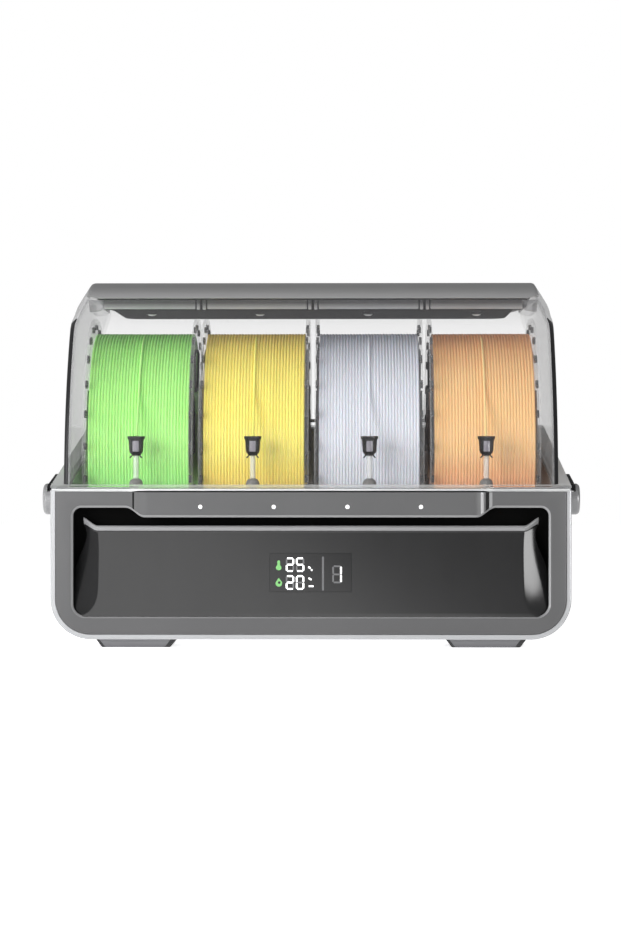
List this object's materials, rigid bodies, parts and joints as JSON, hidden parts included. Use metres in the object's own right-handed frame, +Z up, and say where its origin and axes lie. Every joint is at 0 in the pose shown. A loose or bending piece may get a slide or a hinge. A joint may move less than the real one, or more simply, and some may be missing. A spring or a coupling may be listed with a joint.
{
  "type": "filament dryer box",
  "caption": "Desktop dry box with a clear hinged lid over filament reels on driven rollers, a front display, side latches and feed inlets.",
  "frame": {"origin": "on the table, under the middle of the box", "axes": "+X to the right as seen from the front, +Y to the rear, +Z up; the front faces -Y"},
  "size_m": [0.397, 0.314, 0.2766],
  "materials": {
    "silver_plastic": "satin silver paint",
    "bezel_graphite": "fine satin moulded graphite",
    "panel_gloss": "gloss dark grey moulding",
    "display_glass": "gloss black lens",
    "light_guide": "frosted clear plastic",
    "circuit_board": "green solder mask",
    "black_plastic": "fine satin black moulding",
    "foot_grey": "matte rubber",
    "tray_grey": "satin grey moulding",
    "fins": "brushed",
    "roller_rubber": "matte rubber",
    "steel": "ground steel",
    "reel_clear": "clear smoky polycarbonate",
    "filament_green": "satin extruded filament",
    "filament_yellow": "satin extruded filament",
    "filament_lavender": "satin extruded filament",
    "filament_orange": "satin extruded filament",
    "feed_tube": "translucent tube",
    "hood_clear": "clear, lightly smoked polycarbonate",
    "cap_graphite": "satin graphite",
    "seal_rubber": "soft silicone"
  },
  "bodies": {
    "base": {"lower_housing": "silver_plastic", "front_bezel": "bezel_graphite", "front_panel": "panel_gloss", "display_lens": "display_glass", "display_board": "circuit_board", "status_light_guide": "light_guide", "power_inlet": "black_plastic", "outlet_block": "black_plastic", "control_board": "circuit_board", "foot_front_left": "foot_grey", "foot_front_right": "foot_grey", "foot_rear_left": "foot_grey", "foot_rear_right": "foot_grey", "bay_tray": "tray_grey", "heater_core": "fins", "fan_frame": "black_plastic", "front_axle": "steel", "rear_axle": "steel", "inlet_funnel_1": "black_plastic", "inlet_funnel_2": "black_plastic", "inlet_funnel_3": "black_plastic", "inlet_funnel_4": "black_plastic", "inlet_tube_1": "feed_tube", "inlet_tube_2": "feed_tube", "inlet_tube_3": "feed_tube", "inlet_tube_4": "feed_tube", "filament_lead_1": "filament_green", "filament_lead_2": "filament_yellow", "filament_lead_3": "filament_lavender", "filament_lead_4": "filament_orange", "feeder_1": "black_plastic", "feeder_2": "black_plastic", "feeder_3": "black_plastic", "feeder_4": "black_plastic", "hinge_rod": "steel"},
    "lid": {"lid_hood": "hood_clear", "lid_cap": "cap_graphite", "ceiling_panel": "tray_grey", "lid_gasket": "seal_rubber"},
    "latch_left": {"latch_knob_left": "silver_plastic", "latch_lever_left": "black_plastic"},
    "latch_right": {"latch_knob_right": "silver_plastic", "latch_lever_right": "black_plastic"},
    "fan_rotor": {"fan_impeller": "black_plastic"},
    "reel_1": {"reel_1": "reel_clear", "winding_1": "filament_green"},
    "front_roller_1": {"front_roller_1": "roller_rubber"},
    "rear_roller_1": {"rear_roller_1": "roller_rubber"},
    "reel_2": {"reel_2": "reel_clear", "winding_2": "filament_yellow"},
    "front_roller_2": {"front_roller_2": "roller_rubber"},
    "rear_roller_2": {"rear_roller_2": "roller_rubber"},
    "reel_3": {"reel_3": "reel_clear", "winding_3": "filament_lavender"},
    "front_roller_3": {"front_roller_3": "roller_rubber"},
    "rear_roller_3": {"rear_roller_3": "roller_rubber"},
    "reel_4": {"reel_4": "reel_clear", "winding_4": "filament_orange"},
    "front_roller_4": {"front_roller_4": "roller_rubber"},
    "rear_roller_4": {"rear_roller_4": "roller_rubber"}
  },
  "joints": [
    {"name": "lid_hinge", "type": "hinge", "parent": "base", "child": "lid", "pos_m": [0, 0.15, 0.1715], "axis": [-1, 0, 0], "range_deg": [0, 85]},
    {"name": "latch_left_turn", "type": "hinge", "parent": "base", "child": "latch_left", "pos_m": [-0.19465, -0.12, 0.109], "axis": [1, 0, 0], "range_deg": [0, 90]},
    {"name": "latch_right_turn", "type": "hinge", "parent": "base", "child": "latch_right", "pos_m": [0.19465, -0.12, 0.109], "axis": [1, 0, 0], "range_deg": [0, 90]},
    {"name": "fan_spin", "type": "hinge", "parent": "base", "child": "fan_rotor", "pos_m": [-0.07, 0.03, 0.023], "axis": [0, 0, 1], "continuous": true},
    {"name": "reel_1_spin", "type": "hinge", "parent": "base", "child": "reel_1", "pos_m": [-0.12945, -0.02, 0.148], "axis": [1, 0, 0], "continuous": true},
    {"name": "front_roller_1_spin", "type": "hinge", "parent": "base", "child": "front_roller_1", "pos_m": [-0.12945, -0.082, 0.0593], "axis": [1, 0, 0], "continuous": true},
    {"name": "rear_roller_1_spin", "type": "hinge", "parent": "base", "child": "rear_roller_1", "pos_m": [-0.12945, 0.042, 0.0593], "axis": [1, 0, 0], "continuous": true},
    {"name": "reel_2_spin", "type": "hinge", "parent": "base", "child": "reel_2", "pos_m": [-0.04315, -0.02, 0.148], "axis": [1, 0, 0], "continuous": true},
    {"name": "front_roller_2_spin", "type": "hinge", "parent": "base", "child": "front_roller_2", "pos_m": [-0.04315, -0.082, 0.0593], "axis": [1, 0, 0], "continuous": true},
    {"name": "rear_roller_2_spin", "type": "hinge", "parent": "base", "child": "rear_roller_2", "pos_m": [-0.04315, 0.042, 0.0593], "axis": [1, 0, 0], "continuous": true},
    {"name": "reel_3_spin", "type": "hinge", "parent": "base", "child": "reel_3", "pos_m": [0.04315, -0.02, 0.148], "axis": [1, 0, 0], "continuous": true},
    {"name": "front_roller_3_spin", "type": "hinge", "parent": "base", "child": "front_roller_3", "pos_m": [0.04315, -0.082, 0.0593], "axis": [1, 0, 0], "continuous": true},
    {"name": "rear_roller_3_spin", "type": "hinge", "parent": "base", "child": "rear_roller_3", "pos_m": [0.04315, 0.042, 0.0593], "axis": [1, 0, 0], "continuous": true},
    {"name": "reel_4_spin", "type": "hinge", "parent": "base", "child": "reel_4", "pos_m": [0.12945, -0.02, 0.148], "axis": [1, 0, 0], "continuous": true},
    {"name": "front_roller_4_spin", "type": "hinge", "parent": "base", "child": "front_roller_4", "pos_m": [0.12945, -0.082, 0.0593], "axis": [1, 0, 0], "continuous": true},
    {"name": "rear_roller_4_spin", "type": "hinge", "parent": "base", "child": "rear_roller_4", "pos_m": [0.12945, 0.042, 0.0593], "axis": [1, 0, 0], "continuous": true}
  ],
  "couplings": [
    {"joint": "front_roller_1_spin", "follows": "reel_1_spin", "ratio": -12.5},
    {"joint": "rear_roller_1_spin", "follows": "reel_1_spin", "ratio": -12.5},
    {"joint": "front_roller_2_spin", "follows": "reel_2_spin", "ratio": -12.5},
    {"joint": "rear_roller_2_spin", "follows": "reel_2_spin", "ratio": -12.5},
    {"joint": "front_roller_3_spin", "follows": "reel_3_spin", "ratio": -12.5},
    {"joint": "rear_roller_3_spin", "follows": "reel_3_spin", "ratio": -12.5},
    {"joint": "front_roller_4_spin", "follows": "reel_4_spin", "ratio": -12.5},
    {"joint": "rear_roller_4_spin", "follows": "reel_4_spin", "ratio": -12.5}
  ]
}
